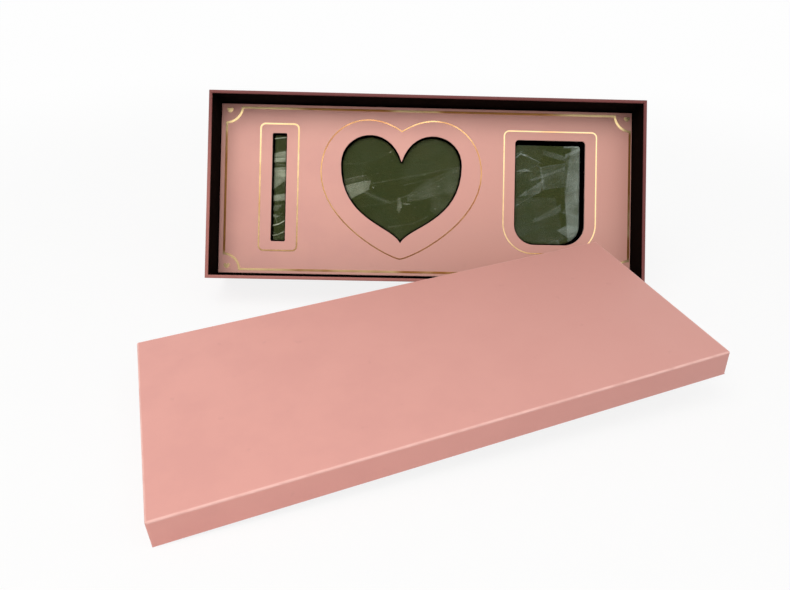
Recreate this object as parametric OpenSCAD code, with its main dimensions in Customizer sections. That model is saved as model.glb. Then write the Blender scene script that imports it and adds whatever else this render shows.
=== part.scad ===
// Rectangular lift-off-lid gift box with a windowed display platform.
// The base leans back on its long edge and the lid rests on the floor and on the base's lower rim.
// Base and lid are both drawn as trays: X along the length from its middle, Y from one long side
// to the other, Z from the closed face to the rim. The base's tray starts at the edge it stands on.

/* [Base box] */
// Outside length of the base box
base_length = 450; // [430:1:520]
// Outside width of the base box, from its lower long wall to its upper one
base_width = 192; // [180:1:230]
// Outside depth of the base box, from its underside to its rim
base_depth = 80; // [72:1:95]
// Thickness of the base's greyboard
base_board_t = 2.7; // [2:0.1:3.5]
// Thickness of the wrapping paper
paper_t = 0.3; // [0.2:0.05:0.4]
// Thickness of the black lining inside the base
lining_t = 0.5; // [0.45:0.05:0.8]
// How far the wrapping paper is turned in over a rim
turn_in = 12; // [6:1:16]
// How far below the rim the lining stops
lining_drop = 1.2; // [0.5:0.1:3]
// Gap that a scored fold leaves between two panels of board or paper
fold_gap = 0.05; // [0.02:0.01:0.1]

/* [Lid] */
// Outside depth of the lid, from its top to its open edge
lid_depth = 24; // [18:1:32]
// Thickness of the lid's greyboard
lid_board_t = 1.6; // [1.2:0.1:2.4]
// Thickness of the lid's lining
lid_lining_t = 0.3; // [0.2:0.05:0.5]
// Gap on each side between the closed lid and the base
lid_clear = 0.8; // [0.4:0.1:1.5]

/* [Display platform] */
// Depth of the platform's face below the rim
platform_drop = 35; // [30:1:42]
// Thickness of the platform's board
platform_board_t = 2; // [1.2:0.1:3]
// Thickness of the folded skirt that carries the platform
skirt_t = 1.8; // [1:0.1:3]
// Gap between the platform's short edges and the lining
platform_end_gap = 1; // [0.4:0.1:2]
// Gap between the platform's long edges and the lining
platform_side_gap = 2.2; // [0.4:0.1:3]
// How far the windows and the foil sit to the right of the platform's middle
art_shift = 1.8; // [-3:0.1:3]
// How far the windows sit above the platform's middle
window_rise = 2; // [-3:0.1:3]

/* [Windows] */
// Width of the upright slot
slot_w = 15.5; // [10:0.5:24]
// Distance from the slot's ends to the platform's edges
slot_margin = 32.3; // [28:0.1:50]
// Corner radius of the slot
slot_r = 1.6; // [0.5:0.1:4]
// Width of the heart window
heart_w = 130; // [110:1:145]
// Distance from the heart's lobes and tip to the platform's edges
heart_margin = 32.8; // [30:0.1:50]
// Width of the pocket window
pocket_w = 76; // [64:0.5:90]
// Distance from the pocket's ends to the platform's edges
pocket_margin = 33.8; // [30:0.1:50]
// Radius of the pocket's two lower corners
pocket_low_r = 22; // [16:0.5:28]
// Radius of the pocket's two upper corners
pocket_top_r = 4; // [1:0.1:8]

/* [Foil] */
// Thickness of the stamped foil, with its relief
foil_t = 0.15; // [0.1:0.01:0.25]
// Width of the frame's foil line
frame_line = 2.4; // [1.5:0.1:3]
// Distance from the platform's edge to the frame
frame_inset = 2.7; // [2:0.1:6]
// Radius of the frame's hollowed corners
frame_corner_r = 16.5; // [12:0.5:20]
// Width of the slot's foil line
slot_line = 1.8; // [1:0.1:2.4]
// Width of the heart's foil line
heart_line = 1.3; // [0.9:0.1:2]
// Width of the pocket's foil line
pocket_line = 1.4; // [0.9:0.1:2]
// Distance from the slot's sides to its foil line
slot_foil_side = 11.6; // [9:0.1:13]
// Distance from the slot's ends to its foil line
slot_foil_end = 8.9; // [7:0.1:12]
// Corner radius of the slot's foil outline
slot_foil_r = 6; // [4:0.5:9]
// Distance from the heart's sides to its foil line
heart_foil_side = 20.4; // [16:0.1:22]
// Distance from the heart's lobes and tip to its foil line
heart_foil_end = 16.4; // [14:0.1:20]
// Distance from the pocket's sides to its foil line
pocket_foil_side = 11.2; // [9:0.1:13]
// Distance from the pocket's ends to its foil line
pocket_foil_end = 8.6; // [7:0.1:12]
// Radius of the two upper corners of the pocket's foil outline
pocket_foil_top_r = 6; // [4:0.5:12]
// Radius of the two lower corners of the pocket's foil outline
pocket_foil_low_r = 33; // [24:0.5:40]
// Share of the platform's spare length that lies between one foil outline and the next
outline_gap_share = 0.2; // [0.15:0.005:0.3]
// Width of the small foil heart in each corner
mini_heart_w = 6.4; // [5:0.1:8]
// Distance from a corner of the frame to its small heart's middle
mini_heart_inset = 4.4; // [3.4:0.1:6]

/* [Flower foam] */
// Depth of the foam's top below the platform's face
foam_drop = 6; // [4:0.5:12]
// Gap between a wrapped foam brick and its window
foam_gap = 1; // [0.6:0.1:2]
// How much further the pocket's brick stays from its window's right and upper edges
pocket_brick_short = 3; // [0:0.5:5]
// Thickness of the clear film round each brick
film_t = 0.25; // [0.15:0.05:0.4]

/* [Set-down] */
// Lean of the base back from upright
lean = 27; // [22:1:32]
// Turn of the lid about the upright
lid_yaw = 20; // [12:0.5:24]
// Roll that lifts the lid's right end
lid_roll = 2.8; // [1:0.1:4]
// Distance kept between the lid's far corner and the platform's face
corner_gap = 5; // [3:0.5:10]
// Distance from the lid's far corner to the base's right wall
corner_side = 43; // [30:1:60]
// Gap between the lid's open edge and the rim under it
rest_gap = 0.3; // [0.2:0.05:0.5]

/* [Hidden] */
$fn = 48;

// Overrun of a cut past the face that it opens
cut = 1;

// Whole wall of the base, and the levels in it, from its underside
base_wall = paper_t + base_board_t + lining_t;
platform_top = base_depth - platform_drop;
platform_board_top = platform_top - paper_t;
platform_board_low = platform_board_top - platform_board_t;
foam_top = platform_top - foam_drop;

// Platform outline, centred on the base's length
platform_l = base_length - 2 * (base_wall + platform_end_gap);
platform_w = base_width - 2 * (base_wall + platform_side_gap);
platform_mid = [0, base_width / 2];

// Heights of the windows
slot_h = platform_w - 2 * slot_margin;
heart_h = platform_w - 2 * heart_margin;
pocket_h = platform_w - 2 * pocket_margin;

// Foil outlines, measured to the outer edge of each line
slot_outline_w = slot_w + 2 * (slot_foil_side + slot_line);
slot_outline_h = slot_h + 2 * (slot_foil_end + slot_line);
heart_outline_w = heart_w + 2 * (heart_foil_side + heart_line);
heart_outline_h = heart_h + 2 * (heart_foil_end + heart_line);
pocket_outline_w = pocket_w + 2 * (pocket_foil_side + pocket_line);
pocket_outline_h = pocket_h + 2 * (pocket_foil_end + pocket_line);

// Middles of the three windows, set out as one row of outlines inside the frame
outlines_w = slot_outline_w + heart_outline_w + pocket_outline_w;
outline_gap = outline_gap_share * (platform_l - 2 * (frame_inset + frame_line) - outlines_w);
slot_x = art_shift - outlines_w / 2 - outline_gap + slot_outline_w / 2;
heart_x = slot_x + slot_outline_w / 2 + outline_gap + heart_outline_w / 2;
pocket_x = heart_x + heart_outline_w / 2 + outline_gap + pocket_outline_w / 2;
window_y = platform_mid.y + window_rise;

// How much smaller the foam is than its window, all round
foam_inset = foam_gap + film_t;

// Right half of a heart, as shares of its half width and its height: from the notch over the
// lobe to the side, and from the side down to the tip, each one cubic curve by its four points
window_heart_shares = [
    [[0, 0.26], [0.21, 0.64], [1, 0.54], [1, 0.23]],
    [[1, 0.23], [1, -0.29], [0.15, -0.34], [0, -0.5]],
];
foil_heart_shares = [
    [[0, 0.42], [0.48, 0.61], [1, 0.43], [1, 0.12]],
    [[1, 0.12], [1, -0.25], [0.11, -0.5], [0, -0.5]],
];
curve_steps = 16;

// Lid: outside sizes
lid_wall = paper_t + lid_board_t + lid_lining_t;
lid_l = base_length + 2 * (lid_clear + lid_wall);
lid_w = base_width + 2 * (lid_clear + lid_wall);

// Where the lid's far edge crosses the base's lower rim, and how much of the edge lies past it
rim_y = base_wall * sin(lean) - base_depth * cos(lean);
rim_z = base_wall * cos(lean) + base_depth * sin(lean);
lid_past_rim = (platform_drop - corner_gap) / (sin(lid_yaw) * cos(lean));
cross_x = base_length / 2 - base_wall - corner_side - lid_past_rim * cos(lid_yaw) * cos(lid_roll);

// Pitch that puts the lid's near left corner on the floor
cross_turned = [
    (lid_l - lid_past_rim) * cos(lid_yaw) - lid_w * sin(lid_yaw),
    (lid_l - lid_past_rim) * sin(lid_yaw) + lid_w * cos(lid_yaw),
];
cross_rise = cross_turned.x * sin(lid_roll);
cross_reach = norm([cross_turned.y, cross_rise]);
lid_pitch = asin((rim_z + rest_gap) / cross_reach) - atan2(cross_rise, cross_turned.y);

// Stands the base on its long edge, leaning back
module stand_base() {
    rotate([90 - lean, 0, 0]) children();
}

// Turns the lid's tray over and lays it from the floor onto the rim
module lay_lid() {
    translate([cross_x, rim_y, rim_z + rest_gap])
        rotate([lid_pitch, 0, 0]) rotate([0, -lid_roll, 0]) rotate([0, 0, lid_yaw])
            translate([lid_past_rim - lid_l / 2, -lid_w, lid_depth]) mirror([0, 0, 1]) children();
}

// Block of a tray, inset from its outside walls and between two heights
module tray_block(l, w, inset, low, high) {
    translate([inset - l / 2, inset, low]) cube([l - 2 * inset, w - 2 * inset, high - low]);
}

// Four upright panels, the short ones between the long ones, parted at the folds
module upright_panels(l, w, t, low, high) {
    for (y = [0, w - t]) translate([-l / 2, y, low]) cube([l, t, high - low]);
    for (x = [-l / 2, l / 2 - t])
        translate([x, t + fold_gap, low]) cube([t, w - 2 * (t + fold_gap), high - low]);
}

// Greyboard of a tray: its flat panel and its four walls
module tray_board(l, w, h, board_t) {
    tray_block(l, w, paper_t, paper_t, paper_t + board_t);
    translate([0, paper_t, 0]) upright_panels(
        l - 2 * paper_t, w - 2 * paper_t, board_t, paper_t + board_t + fold_gap, h - paper_t
    );
}

// Flap of paper over a rim: a strip on the board's edge and a leg down its inside
module rim_flap(strip_l, leg_l, h, board_t) {
    translate([-strip_l / 2, paper_t + fold_gap, h - paper_t])
        cube([strip_l, board_t + paper_t - fold_gap, paper_t]);
    translate([-leg_l / 2, paper_t + board_t, h - turn_in])
        cube([leg_l, paper_t, turn_in - paper_t - fold_gap]);
}

// Four flaps round a rim, the short ones between the long ones
module rim_flaps(l, w, h, board_t) {
    short_l = w - 2 * (2 * paper_t + board_t + fold_gap);
    translate([0, w / 2, 0]) for (side = [0, 180]) {
        rotate([0, 0, side]) translate([0, -w / 2, 0])
            rim_flap(l - 2 * (paper_t + fold_gap), l - 2 * (paper_t + board_t + fold_gap), h, board_t);
        rotate([0, 0, side + 90]) translate([0, -l / 2, 0])
            rim_flap(short_l, short_l, h, board_t);
    }
}

// Wrapping paper of a tray: its flat panel, its four sides and the flaps turned in over the rim
module tray_paper(l, w, h, board_t) {
    tray_block(l, w, 0, 0, paper_t);
    upright_panels(l, w, paper_t, paper_t + fold_gap, h);
    rim_flaps(l, w, h, board_t);
}

// Lining of a tray: it stops below the rim and is thinner where it covers the turned-in flaps
module tray_lining(l, w, h, board_t, t) {
    inset = paper_t + board_t;
    difference() {
        tray_block(l, w, inset, inset, h - paper_t - lining_drop);
        tray_block(l, w, inset + t, inset + t, h + cut);
        difference() {
            tray_block(l, w, paper_t, h - turn_in, h + cut);
            tray_block(l, w, inset + paper_t, h - turn_in - cut, h + 2 * cut);
        }
    }
}

// Rectangle with round corners, centred, with one radius above and one below
module round_rect(w, h, top_r, low_r) {
    translate([-w / 2, low_r - h / 2]) square([w, h - top_r - low_r]);
    translate([top_r - w / 2, h / 2 - top_r]) square([w - 2 * top_r, top_r]);
    translate([low_r - w / 2, -h / 2]) square([w - 2 * low_r, low_r]);
    for (side = [-1, 1]) {
        translate([side * (w / 2 - top_r), h / 2 - top_r]) circle(r = top_r);
        translate([side * (w / 2 - low_r), low_r - h / 2]) circle(r = low_r);
    }
}

// Point of a cubic curve at t, from 0 to 1
function cubic(p, t) =
    pow(1 - t, 3) * p[0] + 3 * t * pow(1 - t, 2) * p[1] + 3 * pow(t, 2) * (1 - t) * p[2] + pow(t, 3) * p[3];

// Heart of a given width and height, centred on its height, from the shares of its two curves
module heart(w, h, shares) {
    right = [for (curve = shares, step = [0 : curve_steps - 1]) cubic(curve, step / curve_steps)];
    left = [for (step = [len(right) - 1 : -1 : 1]) [-right[step].x, right[step].y]];
    polygon([for (p = concat(right, [shares[1][3]], left)) [p.x * w / 2, p.y * h]]);
}

// Corner radius of a shape that is grown or shrunk all round, never less than half of what it was
function grown_r(r, grow) = max(r + grow, r / 2);

// The three windows at their places, and the shapes of their bricks, grown or shrunk all round
module slot_shape(grow = 0) {
    r = grown_r(slot_r, grow);
    translate([slot_x, window_y]) round_rect(slot_w + 2 * grow, slot_h + 2 * grow, r, r);
}

module heart_window() {
    translate([heart_x, window_y]) heart(heart_w, heart_h, window_heart_shares);
}

module heart_shape(grow) {
    offset(r = grow) heart_window();
}

module pocket_window() {
    translate([pocket_x, window_y]) round_rect(pocket_w, pocket_h, pocket_top_r, pocket_low_r);
}

// The pocket's brick is shorter to the right and above
module pocket_shape(grow) {
    short = pocket_brick_short;
    translate([pocket_x - short / 2, window_y - short / 2]) round_rect(
        pocket_w - short + 2 * grow, pocket_h - short + 2 * grow,
        grown_r(pocket_top_r, grow), grown_r(pocket_low_r, grow)
    );
}

// Foil outline with round corners, as wide as its line
module round_outline(w, h, line, top_r, low_r) {
    difference() {
        round_rect(w, h, top_r, low_r);
        round_rect(w - 2 * line, h - 2 * line, top_r - line, low_r - line);
    }
}

// Sheet of the platform with its three windows, between two heights
module platform_sheet(low, high) {
    translate([0, 0, low]) linear_extrude(high - low) difference() {
        translate(platform_mid) square([platform_l, platform_w], center = true);
        slot_shape();
        heart_window();
        pocket_window();
    }
}

// Outline of the foil frame with its hollowed corners, set in by a line's width
module frame_outline(inset) {
    frame_l = platform_l - 2 * frame_inset;
    frame_w = platform_w - 2 * frame_inset;
    translate([art_shift, platform_mid.y]) difference() {
        square([frame_l - 2 * inset, frame_w - 2 * inset], center = true);
        for (x = [-1, 1], y = [-1, 1])
            translate([x * frame_l / 2, y * frame_w / 2]) circle(r = frame_corner_r + inset);
    }
}

// Foil lies on the platform's face
module foil() {
    translate([0, 0, platform_top]) linear_extrude(foil_t) children();
}

// Brick of flower foam, and the outside of its film, from the base's floor up
module foam_brick() {
    translate([0, 0, base_wall]) linear_extrude(foam_top - base_wall) children();
}

module film_cover() {
    translate([0, 0, base_wall]) linear_extrude(foam_top + film_t - base_wall) children();
}

module base_board() {
    color("#8f8a80") stand_base() tray_board(base_length, base_width, base_depth, base_board_t);
}

module base_wrap() {
    color("#a9696a") stand_base() tray_paper(base_length, base_width, base_depth, base_board_t);
}

module base_lining() {
    color("#14100f") stand_base()
        tray_lining(base_length, base_width, base_depth, base_board_t, lining_t);
}

module platform_board() {
    color("#b9a79a") stand_base() platform_sheet(platform_board_low, platform_board_top);
}

module platform_face() {
    color("#dfa89c") stand_base() platform_sheet(platform_board_top, platform_top);
}

// Four strips between the floor's lining and the platform's board
module platform_skirt() {
    color("#b9a79a") stand_base() translate([0, base_wall + platform_side_gap, 0])
        upright_panels(platform_l, platform_w, skirt_t, base_wall, platform_board_low);
}

module frame_foil() {
    color("#d9ab63") stand_base() foil() difference() {
        frame_outline(0);
        frame_outline(frame_line);
    }
}

module slot_foil() {
    color("#e6c583") stand_base() foil() translate([slot_x, window_y])
        round_outline(slot_outline_w, slot_outline_h, slot_line, slot_foil_r, slot_foil_r);
}

module heart_foil() {
    color("#d9ab63") stand_base() foil() translate([heart_x, window_y]) difference() {
        heart(heart_outline_w, heart_outline_h, foil_heart_shares);
        offset(delta = -heart_line) heart(heart_outline_w, heart_outline_h, foil_heart_shares);
    }
}

module pocket_foil() {
    color("#e6c583") stand_base() foil() translate([pocket_x, window_y]) round_outline(
        pocket_outline_w, pocket_outline_h, pocket_line, pocket_foil_top_r, pocket_foil_low_r
    );
}

module corner_heart_foils() {
    mini_x = platform_l / 2 - frame_inset - mini_heart_inset;
    mini_y = platform_w / 2 - frame_inset - mini_heart_inset;
    color("#c08b45") stand_base() foil()
        for (x = [-1, 1], y = [-1, 1])
            translate([art_shift + x * mini_x, platform_mid.y + y * mini_y])
                heart(mini_heart_w, mini_heart_w * heart_h / heart_w, window_heart_shares);
}

module slot_foam() {
    color("#44512f") stand_base() foam_brick() slot_shape(-foam_inset);
}

module heart_foam() {
    color("#44512f") stand_base() foam_brick() heart_shape(-foam_inset);
}

module pocket_foam() {
    color("#44512f") stand_base() foam_brick() pocket_shape(-foam_inset);
}

module slot_film() {
    color("#93a58a", 0.4) stand_base() difference() {
        film_cover() slot_shape(-foam_gap);
        foam_brick() slot_shape(-foam_inset);
    }
}

module heart_film() {
    color("#93a58a", 0.4) stand_base() difference() {
        film_cover() heart_shape(-foam_gap);
        foam_brick() heart_shape(-foam_inset);
    }
}

module pocket_film() {
    color("#93a58a", 0.4) stand_base() difference() {
        film_cover() pocket_shape(-foam_gap);
        foam_brick() pocket_shape(-foam_inset);
    }
}

module lid_board() {
    color("#8f8a80") lay_lid() tray_board(lid_l, lid_w, lid_depth, lid_board_t);
}

module lid_wrap() {
    color("#dc9c93") lay_lid() tray_paper(lid_l, lid_w, lid_depth, lid_board_t);
}

module lid_lining() {
    color("#efe4dd") lay_lid() tray_lining(lid_l, lid_w, lid_depth, lid_board_t, lid_lining_t);
}

base_board();
base_wrap();
base_lining();
platform_board();
platform_skirt();
platform_face();
frame_foil();
slot_foil();
heart_foil();
pocket_foil();
corner_heart_foils();
slot_foam();
heart_foam();
pocket_foam();
slot_film();
heart_film();
pocket_film();
lid_board();
lid_wrap();
lid_lining();
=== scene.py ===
"""Looks of a rectangular gift box that stands open, with its lid laid in front of it.

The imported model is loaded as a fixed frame. Wrapping papers, boards, foam and film are modelled over
it at the same place, the nodes that stay get their finishes, and a plain studio is set up.
Lengths are in metres. Base and lid each have their own tray coordinates: X along the length from its
middle, Y from one long side to the other, and Z from the closed face to the rim.
"""

from __future__ import annotations

import logging
import math
from abc import ABC, abstractmethod
from dataclasses import dataclass
from enum import Enum
from functools import cached_property

import bmesh
import bpy
from bmesh.types import BMEdge, BMesh, BMVert
from bpy.types import Material, Node, NodeSocket, Object, World
from mathutils import Euler, Matrix, Vector, noise


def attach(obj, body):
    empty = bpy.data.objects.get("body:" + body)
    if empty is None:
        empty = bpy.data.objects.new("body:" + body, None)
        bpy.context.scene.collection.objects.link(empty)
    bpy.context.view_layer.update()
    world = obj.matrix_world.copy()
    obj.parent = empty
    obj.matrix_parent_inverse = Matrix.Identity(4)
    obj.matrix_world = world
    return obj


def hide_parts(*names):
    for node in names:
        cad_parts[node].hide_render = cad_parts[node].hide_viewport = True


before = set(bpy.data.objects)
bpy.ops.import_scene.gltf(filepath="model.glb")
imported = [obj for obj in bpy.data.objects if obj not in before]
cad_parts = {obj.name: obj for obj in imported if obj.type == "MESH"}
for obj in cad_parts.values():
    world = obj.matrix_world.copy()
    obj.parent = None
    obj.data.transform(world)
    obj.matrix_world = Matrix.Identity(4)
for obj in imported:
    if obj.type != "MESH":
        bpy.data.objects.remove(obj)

LOG = logging.getLogger("gift_box")
MM = 0.001
NEAR = 0.01 * MM  # places closer than this count as one
FLAT = 0.9995  # a normal's largest part, from which a face counts as a flat panel
PHOTO_SIZE = (790, 590)
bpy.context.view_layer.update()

Triple = tuple[float, float, float]
Colour = Triple
Pair = tuple[float, float]


class Body(Enum):
    """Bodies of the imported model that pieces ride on."""

    BASE = "base"
    SLOT_BRICK = "slot_brick"
    HEART_BRICK = "heart_brick"
    POCKET_BRICK = "pocket_brick"
    LID = "lid"


class Slot(Enum):
    """Material slots that new pieces are listed under."""

    GREYBOARD = "greyboard"
    ROSE_PAPER = "rose_paper"
    BLUSH_PAPER = "blush_paper"
    BLUSH_FACE = "blush_face"
    FLOWER_FOAM = "flower_foam"
    CLEAR_FILM = "clear_film"


class Window(Enum):
    """The three windows of the platform."""

    SLOT = "slot"
    HEART = "heart"
    POCKET = "pocket"


@dataclass(frozen=True)
class BoxSizes:
    """Outside sizes, papers and boards of base, lid and platform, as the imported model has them."""

    base_length: float = 450 * MM
    base_width: float = 192 * MM
    base_depth: float = 80 * MM
    base_board: float = 2.7 * MM
    base_lining: float = 0.5 * MM
    paper: float = 0.3 * MM
    turn_in: float = 12 * MM
    lid_depth: float = 24 * MM
    lid_board: float = 1.6 * MM
    lid_lining: float = 0.3 * MM
    lid_clear: float = 0.8 * MM
    platform_drop: float = 35 * MM
    foam_drop: float = 6 * MM

    @property
    def base_wall(self) -> float:
        """Whole wall of the base."""
        return self.paper + self.base_board + self.base_lining

    @property
    def lid_wall(self) -> float:
        """Whole wall of the lid."""
        return self.paper + self.lid_board + self.lid_lining

    @property
    def lid_length(self) -> float:
        """Outside length of the lid."""
        return self.base_length + 2 * (self.lid_clear + self.lid_wall)

    @property
    def lid_width(self) -> float:
        """Outside width of the lid."""
        return self.base_width + 2 * (self.lid_clear + self.lid_wall)

    @property
    def foam_top(self) -> float:
        """Height of the foam's top over the base's underside."""
        return self.base_depth - self.platform_drop - self.foam_drop


@dataclass(frozen=True)
class SetDown:
    """How the leaning base and the laid lid stand in the frame."""

    sizes: BoxSizes
    lean: float = math.radians(27)
    lid_yaw: float = math.radians(20)
    lid_roll: float = math.radians(2.8)
    corner_gap: float = 5 * MM
    corner_side: float = 43 * MM
    rest_gap: float = 0.3 * MM

    def base_place(self) -> Matrix:
        """Tray coordinates of the base, which leans back on its long edge, to the frame."""
        return Matrix.Rotation(math.pi / 2 - self.lean, 4, "X")

    def lid_place(self) -> Matrix:
        """Tray coordinates of the lid to the frame.

        Returns:
            The matrix that turns the tray over and lays it from the floor onto the base's rim.
        """
        s, lean, yaw, roll = self.sizes, self.lean, self.lid_yaw, self.lid_roll
        rim_y = s.base_wall * math.sin(lean) - s.base_depth * math.cos(lean)
        rim_z = s.base_wall * math.cos(lean) + s.base_depth * math.sin(lean) + self.rest_gap
        past = (s.platform_drop - self.corner_gap) / (math.sin(yaw) * math.cos(lean))
        cross_x = s.base_length / 2 - s.base_wall - self.corner_side - past * math.cos(yaw) * math.cos(roll)
        turned_x = (s.lid_length - past) * math.cos(yaw) - s.lid_width * math.sin(yaw)
        turned_y = (s.lid_length - past) * math.sin(yaw) + s.lid_width * math.cos(yaw)
        rise = turned_x * math.sin(roll)
        pitch = math.asin(rim_z / math.hypot(turned_y, rise)) - math.atan2(rise, turned_y)
        laid = Matrix.Translation((cross_x, rim_y, rim_z))
        for angle, axis in ((pitch, "X"), (-roll, "Y"), (yaw, "Z")):
            laid @= Matrix.Rotation(angle, 4, axis)
        turned_over = Matrix.Translation((past - s.lid_length / 2, 0, s.lid_depth))
        return laid @ turned_over @ Matrix.Rotation(math.pi, 4, "X")


@dataclass(frozen=True)
class Grain:
    """A noise: features per metre, finer layers and the share of each, its turn and its stretch."""

    scale: float
    layers: float = 2.0
    share: float = 0.5
    turn: float = 0.0
    stretch: Triple | None = None


class NodeSheet:
    """The nodes of a material or of the surroundings, with short calls that add and link them."""

    def __init__(self, owner: Material | World, place: Matrix) -> None:
        """Starts with the shader that a new owner has.

        Args:
            owner: The material or the surroundings.
            place: The matrix from tray coordinates to the frame.
        """
        owner.use_nodes = True
        self.owner, self.place, self.tree = owner, place, owner.node_tree
        self.shader = self.tree.nodes.get("Principled BSDF") or self.tree.nodes["Background"]

    @cached_property
    def point(self) -> NodeSocket:
        """The shaded point in tray coordinates."""
        back, here = self.place.inverted(), self.add("TexCoord", {}).outputs["Object"]
        return self.mapped(here, Location=back.translation, Rotation=back.to_euler("XYZ"))

    def feed(self, socket: NodeSocket, value: object) -> None:
        """Links a socket to another one, or sets its value.

        Args:
            socket: The input to fill.
            value: An output socket, a number or a tuple.
        """
        if isinstance(value, NodeSocket):
            self.tree.links.new(value, socket)
        else:
            socket.default_value = value

    def add(self, kind: str, inputs: dict[str | int, object], **settings: object) -> Node:
        """Adds a node.

        Args:
            kind: The node's type, without the leading ShaderNode.
            inputs: Values or sockets for its inputs.
            **settings: Other properties of the node.

        Returns:
            The new node.
        """
        node = self.tree.nodes.new(f"ShaderNode{kind}")
        for key, value in settings.items():
            setattr(node, key, value)
        for key, value in inputs.items():
            self.feed(node.inputs[key], value)
        return node

    def surface(self, **values: object) -> None:
        """Fills inputs of the shader.

        Args:
            **values: Input names with underscores for spaces, and their values or sockets.
        """
        for key, value in values.items():
            self.feed(self.shader.inputs[key.replace("_", " ")], value)

    def show(self, shader: Node) -> None:
        """Lets another shader give the surface."""
        self.feed(self.tree.nodes["Material Output"].inputs["Surface"], shader.outputs[0])

    def seen_directly(self) -> NodeSocket:
        """Whether a ray comes from the camera, a mirror or a clear piece.

        Returns:
            The factor socket.
        """
        rays = self.add("LightPath", {}).outputs
        seen = self.math("MAXIMUM", rays["Is Camera Ray"], rays["Is Glossy Ray"])
        return self.math("MAXIMUM", seen, rays["Is Transmission Ray"])

    def mapped(self, point: NodeSocket, **steps: object) -> NodeSocket:
        """Stretches, turns and moves a point, in this order."""
        return self.add("Mapping", {"Vector": point, **steps}).outputs[0]

    def axes(self, point: NodeSocket) -> list[NodeSocket]:
        """The three coordinates of a point."""
        return list(self.add("SeparateXYZ", {"Vector": point}).outputs)

    def off_middle(self, middle: float) -> list[NodeSocket]:
        """How far the shaded point lies from the tray's middle, whose Y is given, along each axis."""
        centred = self.mapped(self.point, Location=(0.0, -middle, 0.0))
        return self.axes(self.vector("ABSOLUTE", centred))

    def math(self, operation: str, *values: object) -> NodeSocket:
        """Calculates with factors."""
        return self.add("Math", dict(enumerate(values)), operation=operation).outputs[0]

    def vector(self, operation: str, *values: object, output: str = "Vector") -> NodeSocket:
        """Calculates with vectors."""
        return self.add("VectorMath", dict(enumerate(values)), operation=operation).outputs[output]

    def noise(self, grain: Grain, point: NodeSocket | None = None, output: str = "Fac") -> NodeSocket:
        """Noise between 0 and 1.

        Args:
            grain: The kind of noise.
            point: Where it is read, if not at the shaded point.
            output: The output, a factor or a colour.

        Returns:
            The output's socket.
        """
        where = self.point if point is None else point
        if grain.turn:
            where = self.mapped(where, Rotation=(0.0, 0.0, grain.turn))
        if grain.stretch:
            where = self.mapped(where, Scale=grain.stretch)
        inputs = {"Vector": where, "Scale": grain.scale, "Detail": grain.layers, "Roughness": grain.share}
        return self.add("TexNoise", inputs).outputs[output]

    def span(
        self, value: NodeSocket, low: float, high: float, to_low: float = 0.0, to_high: float = 1.0
    ) -> NodeSocket:
        """Maps a range of a factor smoothly onto another.

        Args:
            value: The factor.
            low: Start of the range.
            high: End of the range.
            to_low: Result at the start.
            to_high: Result at the end.

        Returns:
            The mapped socket.
        """
        ends = {"From Min": low, "From Max": high, "To Min": to_low, "To Max": to_high}
        smooth = self.add("MapRange", {"Value": value, **ends}, interpolation_type="SMOOTHSTEP")
        return smooth.outputs["Result"]

    def blend(self, share: object, first: object, second: object, way: str = "MIX") -> NodeSocket:
        """Mixes two colours.

        Args:
            share: Share of the second colour.
            first: The first colour.
            second: The second colour.
            way: How they are mixed.

        Returns:
            The colour socket.
        """
        inputs = {0: share, 6: opaque(first), 7: opaque(second)}
        return self.add("Mix", inputs, data_type="RGBA", blend_type=way).outputs[2]

    def sum(self, *parts: tuple[object, float]) -> NodeSocket:
        """Adds factors, each times its weight.

        Args:
            *parts: Pairs of a socket and its weight.

        Returns:
            The sum's socket.
        """
        total: object = 0.0
        for value, weight in parts:
            total = self.math("MULTIPLY_ADD", value, weight, total)
        return total

    def bump(self, height: object, depth: float) -> NodeSocket:
        """Turns a height into a bumped normal, where a height of 1 stands for a depth in metres."""
        return self.add("Bump", {"Height": height, "Distance": depth}).outputs[0]


def opaque(colour: object) -> object:
    """Gives a plain colour its fourth value, and leaves a socket as it is."""
    return (*colour, 1.0) if isinstance(colour, tuple) else colour


def darker(colour: Colour, share: float) -> Colour:
    """A share of a colour."""
    return tuple(share * part for part in colour)


@dataclass(frozen=True)
class Finish(ABC):
    """A finish of one kind of stock."""

    name: str

    def make(self, place: Matrix) -> Material:
        """Makes the material.

        Args:
            place: The matrix from tray coordinates to the frame.

        Returns:
            The material.
        """
        sheet = NodeSheet(bpy.data.materials.new(self.name), place)
        self.paint(sheet)
        return sheet.owner

    @abstractmethod
    def paint(self, sheet: NodeSheet) -> None:
        """Fills the shader of the material."""


@dataclass(frozen=True)
class PaintedShade:
    """Painted shade: a darker tint that paper takes on from one point of the tray to another, above a height,
    where less light falls.
    """

    tint: Colour
    start: Triple
    end: Triple
    over: float = -1.0
    soft: float = 6 * MM

    def share(self, sheet: NodeSheet) -> NodeSocket:
        """How much of the painted shade the shaded point has.

        Args:
            sheet: The material's nodes.

        Returns:
            The share socket.
        """
        start, way = Vector(self.start), Vector(self.end) - Vector(self.start)
        begin = start.dot(way) / way.length_squared
        along = sheet.vector("DOT_PRODUCT", sheet.point, way / way.length_squared, output="Value")
        above = sheet.span(sheet.axes(sheet.point)[2], self.over - self.soft, self.over)
        return sheet.math("MULTIPLY", sheet.span(along, begin, begin + 1.0), above)


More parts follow.
